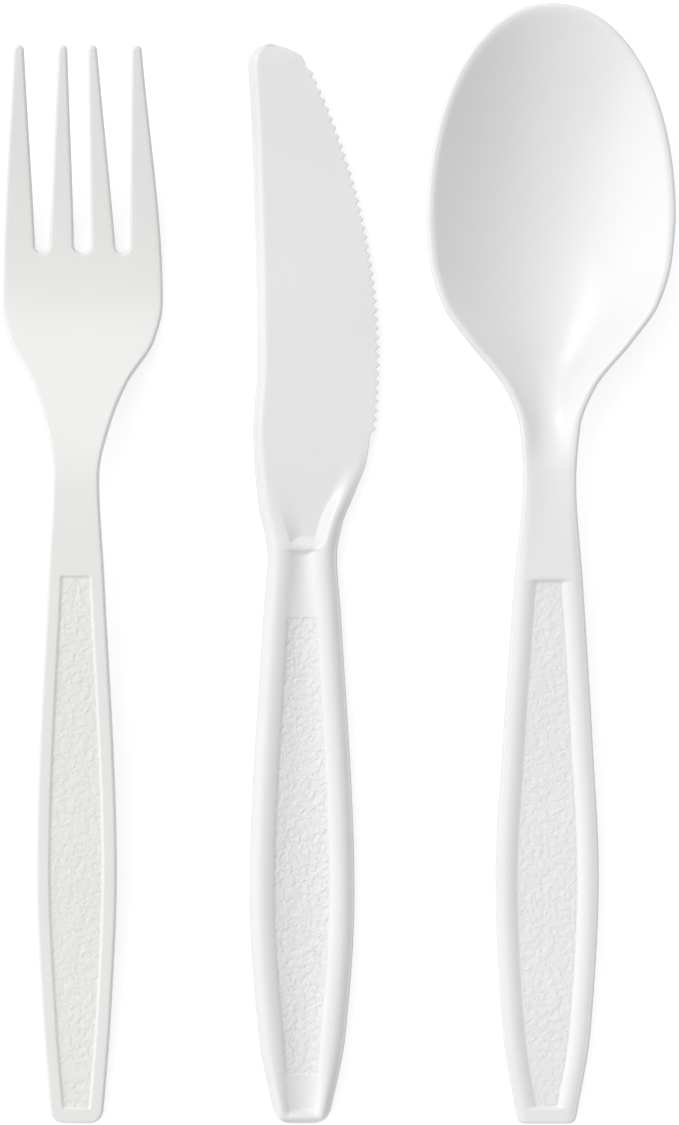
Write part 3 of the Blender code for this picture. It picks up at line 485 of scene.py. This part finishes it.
# Lanes: close over each rim, from its edge to its foot, and even between the feet.
to_heel = ease(knife_neck, knife_heel, rows)
handle_rim = end_rim_width + (handle_rim_width - end_rim_width) * ease(0.0, rims_widen_to, rows)
spine_rim = handle_rim + (spine_rim_width - handle_rim) * to_heel - knife_edge
heel_rim = handle_rim + (heel_rim_width - handle_rim) * to_heel - knife_edge
spine_rim = np.minimum(spine_rim, widest_rim_share * width)
heel_rim = np.minimum(heel_rim, widest_rim_share * width)
drawn_in = corner_inset(rows - knife_edge, knife_corner - knife_edge)
left_foot = np.maximum(left + spine_rim, left + drawn_in + spine_rim / 2)
right_foot = np.minimum(right - heel_rim, right - drawn_in - heel_rim / 2)
rim_steps = np.linspace(0.0, 1.0, 11)[:, None] ** rim_crowding
web_width = right_foot - left_foot
wall = np.minimum(panel_side_wall, web_width / 40)
x = np.concatenate([
    left + drawn_in + (left_foot - left - drawn_in) * rim_steps,
    left_foot + wall + (web_width - 2 * wall) * np.linspace(0.0, 1.0, 39)[:, None],
    right - drawn_in + (right_foot - right + drawn_in) * rim_steps[::-1]]).T
y = np.repeat(rows[:, None], x.shape[1], axis=1)


def rim_back(side, end, dish, lost, crest, soft):
    """Share of a rim's height: one out to its crest, then 1 - f d² to its foot, d from 0 to 1.

    Beside the blade a share of that fall is softened to d²(3 - 2d). From the foot the rest, 1 - f,
    goes as (1 - e)² while the dish e runs to the middle of the web. The rim round the handle's end
    falls as 1 - d², and the higher of the two stands.
    """
    down_side = np.clip((side - crest) / (1 - crest), 0.0, 1.0)
    down_end = np.clip((end - crest_share) / (1 - crest_share), 0.0, 1.0)
    fall = (1 - soft) * down_side**2 + soft * ease(0.0, 1.0, down_side)
    inward = lost * fall + (1 - lost) * (1 - (1 - dish) ** 2)
    return 1 - np.minimum(inward, down_end**2)


def rim_bevel(side, end, crest):
    """Share of the bevel's depth: u² + v² outside the crests, where u and v run to one at the edges."""
    outward = np.hypot(np.clip(1 - side / crest, 0.0, 1.0), np.clip(1 - end / crest_share, 0.0, 1.0))
    return np.minimum(outward, 1.0) ** 2


# Heights: the web is a channel in the handle and a wedge in the blade, which thins towards its point.
# The rims stand on it and sink into the blade, and the rib joins them with a small fillet.
in_blade = ease(knife_neck, knife_bolster, rows)[:, None]
thinned = 1 - point_thinning * past[:, None] ** 2
wedge = spine_half + (saw_half - spine_half) * np.clip((x - left[:, None]) / width[:, None], 0.0, 1.0)
web = channel_half + (wedge * thinned - channel_half) * in_blade
between = (x - left_foot[:, None]) / web_width[:, None]
spine_side = (x - left[:, None]) / spine_rim[:, None]
heel_side = (right[:, None] - x) / heel_rim[:, None]
from_end = (y - knife_edge) / (knife_end_rim - knife_edge)
spine_lost = foot_fall * (1 - foot_softened * in_blade)
heel_lost = foot_fall + (1 - foot_fall) * in_blade
spine_left = (1 - to_heel[:, None]) ** 2
heel_left = 1 - ease(knife_bolster, knife_heel, rows)[:, None]
spine_crest = (crest_share + (spine_crest_share - crest_share) * to_heel)[:, None]
to_heel_crest = ease(heel_crest_from, heel_crest_to, rows)
heel_crest = (crest_share + (heel_crest_share - crest_share) * to_heel_crest)[:, None]
spine_back = rim_back(spine_side, from_end, np.clip(2 * between, 0.0, 1.0), spine_lost, spine_crest, 0.0)
heel_back = rim_back(heel_side, from_end, np.clip(2 - 2 * between, 0.0, 1.0), heel_lost, heel_crest,
                     in_blade)
backs = np.maximum(spine_left * spine_back, heel_left**2 * heel_back)
bevel = np.maximum(rim_bevel(spine_side, from_end, spine_crest),
                   heel_left * rim_bevel(heel_side, from_end, heel_crest))
rib = ease(rib_start, rib_flat, rows) * (1 - ease(rib_fall, knife_bolster, rows))
rib = rib[:, None] * (rib_half - channel_half)

# The joined height of a rim and the rib is (a + b + sqrt((a - b)² + f²)) / 2, with a fillet of f.
raised = (rim_half - web) * backs
fillet = rib_fillet * rib * ease(0.0, rib_fillet_rise, raised)
joined = (raised + rib + np.hypot(raised - rib, fillet)) / 2
raised = np.minimum(joined, rim_half - web)
from_foot = np.minimum(x - left_foot[:, None], right_foot[:, None] - x)
across_panel = ease(0.0, 1.0, from_foot / wall[:, None])
along_panel = ease(-0.5, 0.5, np.minimum(y - knife_panel_start, knife_panel_end - y) / panel_end_wall)
sunk = across_panel * along_panel
half = web + raised - bevel_depth * thinned * bevel - panel_sink * sunk
half = half + knife_grain * sunk * pebbles(x, y, knife_grain_size, 2)

# The saw edge: the outermost lane alone goes out and in, as a zigzag line of teeth.
tooth = np.abs((rows - knife_heel) / tooth_pitch % 1.0 - 0.5) * 2
x[:, -1] += tooth_depth * (1 - tooth) * ((rows > knife_heel) & (rows < knife_toothed))
edge = np.where(x < 0, knife_edge, side_edge[:, None])
knife = lay_moulding("knife_moulding", "knife", knife_turn, x, y, rim_half + half, rim_half - half,
                     rounding=edge, pebbled=(sunk, sunk))
knife.data.materials.append(
    white_plastic("knife_white", white=(0.790, 0.799, 0.794), shift=0.6, grain_height=0.00008))


# The spoon: one moulding of the same plastic. Two round rims run along the handle beside a sunk
# pebbled panel, the neck is a little dished, and the deep oval bowl has a rounded lip.

# How the spoon is turned, and places along it: the panel, the neck and the bowl's widest place. Then
# half widths, the bowl's length ahead of there, how square its oval is, and thicknesses.
spoon_turn = math.radians(-0.05)
spoon_panel_start, spoon_panel_end, spoon_neck, spoon_middle = 0.0024, 0.0908, 0.1070, 0.1495
spoon_neck_half, bowl_half, bowl_front, oval_power = 0.00435, 0.02045, 0.0353, 2.1
spoon_handle_skin, spoon_neck_skin = 0.0030, 0.0025

# The rounded edge and the end's corners, the rims with their crests, and the panel with its grain.
spoon_edge, spoon_corner = 0.0006, 0.0011
spoon_rim, spoon_crest, spoon_outer_fall, rims_end = 0.0036, 0.00165, 0.00055, spoon_neck + 0.010
spoon_recess, spoon_pocket, spoon_end_fall, least_inside_share = 0.0007, 0.0008, 0.0006, 0.3
spoon_grain, spoon_grain_size, spoon_grain_fade = 0.00005, 0.0007, 0.0002

# The lip, the bowl and the dish of the neck, and how the lanes spread out into the bowl.
lip_width, lip_height, lip_round, lip_front_rise = 0.0013, 0.0013, 0.04, 0.0018
bowl_depth, bowl_wall, neck_dish = 0.0094, 0.0012, 0.0003
lanes_spread_to, lane_crowding = spoon_neck + 0.025, 0.8

# The outline, the rise of the rims and the thickness, each as places and values.
spoon_half_width = [(0.0, 0.0048), (0.016, 0.00735), (0.041, 0.00855), (0.064, 0.0074),
                    (spoon_panel_end, 0.0056)]
spoon_half_width += swell(
    ((0.0, 0.0), (0.21, 0.04), (0.35, 0.18), (0.54, 0.58), (0.68, 0.835), (0.85, 0.965), (1.0, 1.0)),
    spoon_neck, spoon_middle, spoon_neck_half, bowl_half)
rim_height = bowl_depth + bowl_wall
spoon_rise = [(0.0, spoon_handle_skin), (spoon_panel_end, 0.0070), (spoon_neck, 0.0089),
              (spoon_middle, rim_height), (spoon_middle + bowl_front, rim_height + lip_front_rise)]
spoon_thickness = [(0.0, spoon_handle_skin), (spoon_panel_end, spoon_handle_skin),
                   (spoon_neck, spoon_neck_skin), ((spoon_neck + spoon_middle) / 2, lip_height),
                   (spoon_middle + bowl_front, lip_height)]
rows = np.concatenate([
    spoon_edge + round_corner(spoon_corner - spoon_edge),
    stations(spoon_corner,
             (spoon_panel_start - spoon_corner, 0.0003), (spoon_end_fall, 0.0001),
             (spoon_panel_end - spoon_panel_start - 2 * spoon_end_fall, grain_step),
             (spoon_end_fall, 0.0001),
             (spoon_neck - spoon_panel_end, 0.0008), (spoon_middle - spoon_neck, 0.0007))[1:]])
half = curve_through(spoon_half_width, rows)
inner = within_edge(half, spoon_edge, rows) - corner_inset(rows - spoon_edge, spoon_corner - spoon_edge)

# Lanes: even over the panel or the hollow, then close over the rim or the lip to the edge.
foot = np.maximum(half - spoon_rim, least_inside_share * inner)
crest = np.maximum(half - spoon_crest, (foot + inner) / 2)
handle = np.concatenate([
    foot * np.linspace(0.0, 1.0, 22)[:-1, None],
    foot + (crest - foot) * np.linspace(0.0, 1.0, 7)[:-1, None],
    crest + (inner - crest) * np.linspace(0.0, 1.0, 8)[:, None]])
lip = inner - lip_width + spoon_edge
bowl = np.concatenate([
    lip * np.sin(np.linspace(0.0, 1.0, 28) * math.pi / 2)[:-1, None] ** lane_crowding,
    lip + (inner - lip) * np.linspace(0.0, 1.0, 8)[:, None]])
to_bowl = ease(spoon_panel_end, lanes_spread_to, rows)
right = (handle + (bowl - handle) * to_bowl).T
x_back = np.concatenate([-right[:, :0:-1], right], axis=1)
y_back = np.repeat(rows[:, None], x_back.shape[1], axis=1)

# The front of the bowl is a square of shares u and v drawn out to the oval |x|^p + |y|^p = 1:
# u sqrt(1 - v²/2) across and v sqrt(1 - u²/2) ahead make it a disc, and a factor makes that the oval.
u = x_back[-1] / inner[-1]
lip_share = 1 - lip_width / bowl_front
v = np.concatenate([lip_share * np.linspace(0.0, 1.0, 56)[1:],
                    lip_share + (1 - lip_share) * np.linspace(0.0, 1.0, 8)[1:]])
u, v = np.meshgrid(u, v)
across, ahead = u * np.sqrt(1 - v**2 / 2), v * np.sqrt(1 - u**2 / 2)
squarer = np.hypot(across, ahead) / (np.abs(across) ** oval_power + ahead**oval_power) ** (1 / oval_power)
x = np.concatenate([x_back, across * squarer * inner[-1]])
y = np.concatenate([y_back, spoon_middle + ahead * squarer * (bowl_front - spoon_edge)])


def bowl_share(lip, least, round_off):
    """Share of the bowl's depth inside a lip of this width: 1 - |x/w|^p - |y/l|^p ahead of its middle.

    Behind the middle it is b (1 - |x/w|^p), and b falls from one to the least depth in the neck. A share
    s is rounded off to (s + sqrt(s² + r²)) / 2, so the lip's inner edge is soft.
    """
    forward = np.clip(y - spoon_middle, 0.0, None) / (bowl_front - lip)
    reach = curve_through(spoon_half_width, np.minimum(y, spoon_middle))
    sideways = np.abs(x) / np.maximum(reach - lip, least_inside_share * reach)
    back = 1 - np.clip((spoon_middle - y) / (spoon_middle - spoon_neck), 0.0, 1.0)
    back = curve_through([(0.0, 0.0), (0.2, 0.15), (0.5, 0.68), (1.0, 1.0), (1.1, 1.0)], back)
    behind = np.maximum(back, least) * (1 - sideways**oval_power)
    share = np.where(y > spoon_middle, 1 - sideways**oval_power - forward**oval_power, behind)
    return np.clip((share + np.hypot(share, round_off)) / 2, 0.0, 1.0)


# Heights: outside its crest a rim falls as a parabola, and inside it falls as one to the flat panel.
# The bowl and the dish of the neck go down from there, and the underside follows them.
near = curve_through(spoon_half_width, np.minimum(y, spoon_middle)) - np.abs(x)
outside = np.clip(1 - near / spoon_crest, 0.0, 1.0)
inside = np.clip((near - spoon_crest) / (spoon_rim - spoon_crest), 0.0, 1.0) ** 2
from_foot = np.minimum(y - spoon_panel_start, spoon_panel_end - y)
sunk = inside * ease(0.0, 1.0, from_foot / spoon_end_fall)
pebbled = ease(0.0, spoon_grain_fade, near - spoon_rim)
pebbled = pebbled * ease(spoon_end_fall, spoon_end_fall + spoon_grain_fade, from_foot)
in_bowl = ease(spoon_panel_end, rims_end, y)
past_panel = ease(spoon_panel_end, spoon_neck, y)
rise, thickness = curve_through(spoon_rise, y), curve_through(spoon_thickness, y)
hollow = bowl_share(lip_width, neck_dish / bowl_depth, lip_round)
top = rise - spoon_recess * sunk + spoon_grain * pebbled * pebbles(x, y, spoon_grain_size, 3)
top -= spoon_outer_fall * outside**2 * (1 - in_bowl) + bowl_depth * past_panel * hollow
under = rise - thickness + spoon_pocket * sunk - (rim_height - lip_height) * bowl_share(0.0, 0.0, 0.0)
spoon = lay_moulding("spoon_moulding", "spoon", spoon_turn, x, y, top, under, rounding=spoon_edge,
                     pebbled=(pebbled, 0 * pebbled))
spoon.data.materials.append(
    white_plastic("spoon_white", white=(0.817, 0.818, 0.814), shift=0.9, grain_height=0.00006))


# The table: a wide white sheet under the set. It is a plain pale grey to the light that bounces off
# it, and white to the eye and to reflections, with the shadows of the pieces kept.
table_grey, table_glow = 0.42, 0.74
bpy.ops.mesh.primitive_plane_add(size=6.0, location=(0.0, 0.0, -0.0001))
table = bpy.context.object
table.name = "table"
sheet = bpy.data.materials.new("table_white")
sheet.use_nodes = True
tree = sheet.node_tree
tree.nodes.clear()
ray = tree.nodes.new("ShaderNodeLightPath")
seen = maths(tree, "MAXIMUM", ray.outputs["Is Camera Ray"], ray.outputs["Is Glossy Ray"])
seen = maths(tree, "MAXIMUM", seen, ray.outputs["Is Transmission Ray"])
matt = tree.nodes.new("ShaderNodeBsdfDiffuse")
matt.inputs["Color"].default_value = (table_grey, table_grey, table_grey, 1.0)
none = tree.nodes.new("ShaderNodeEmission")
none.inputs["Strength"].default_value = 0.0
glow = tree.nodes.new("ShaderNodeEmission")
glow.inputs["Strength"].default_value = table_glow
lift = tree.nodes.new("ShaderNodeMixShader")
tree.links.new(seen, lift.inputs["Fac"])
tree.links.new(none.outputs["Emission"], lift.inputs[1])
tree.links.new(glow.outputs["Emission"], lift.inputs[2])
both = tree.nodes.new("ShaderNodeAddShader")
tree.links.new(matt.outputs["BSDF"], both.inputs[0])
tree.links.new(lift.outputs["Shader"], both.inputs[1])
surface = tree.nodes.new("ShaderNodeOutputMaterial")
tree.links.new(both.outputs["Shader"], surface.inputs["Surface"])
table.data.materials.append(sheet)


# The light: a white room. An even pale light comes from all round, and broad soft lights with no
# edges stand in it, the strongest high on the upper left. A soft light is written as where it stands,
# how tight it is and how strong.
even_light = 0.61
soft_lights = [
    ((-0.45, 0.35, 0.82), 8.0, 1.40),
    ((-0.50, 0.50, 0.71), 60.0, 4.2),
    ((-0.92, 0.00, 0.38), 8.0, 1.9),
    ((0.00, 0.92, 0.38), 8.0, 1.2),
    ((0.00, -0.85, 0.50), 8.0, 0.55),
]
world = bpy.data.worlds.new("white_room")
bpy.context.scene.world = world
world.use_nodes = True
tree = world.node_tree
tree.nodes.clear()
look = tree.nodes.new("ShaderNodeTexCoord")
total = even_light
for towards, tightness, strength in soft_lights:
    # Strength of one soft light in a direction d: s max(0, d · l)^p, where l points at its middle.
    facing = tree.nodes.new("ShaderNodeVectorMath")
    facing.operation = "DOT_PRODUCT"
    facing.inputs[1].default_value = np.array(towards) / np.linalg.norm(towards)
    tree.links.new(look.outputs["Generated"], facing.inputs[0])
    above = maths(tree, "MAXIMUM", facing.outputs["Value"], 0.0)
    total = maths(tree, "MULTIPLY_ADD", maths(tree, "POWER", above, tightness), strength, total)
surround = tree.nodes.new("ShaderNodeBackground")
tree.links.new(total, surround.inputs["Strength"])
sky = tree.nodes.new("ShaderNodeOutputWorld")
tree.links.new(surround.outputs["Background"], sky.inputs["Surface"])


# The camera: straight above the set, 440 mm over the table, with the photograph's narrow field.
camera = bpy.data.objects.new("camera", bpy.data.cameras.new("camera"))
bpy.context.scene.collection.objects.link(camera)
camera.location = (0.00064, 0.00116, 0.440)
camera.data.sensor_fit = "VERTICAL"
camera.data.sensor_height = 36.0
camera.data.lens = 84.0
camera.data.clip_start = 0.01
camera.data.clip_end = 20.0
bpy.context.scene.camera = camera
bpy.context.scene.view_settings.view_transform = "Standard"
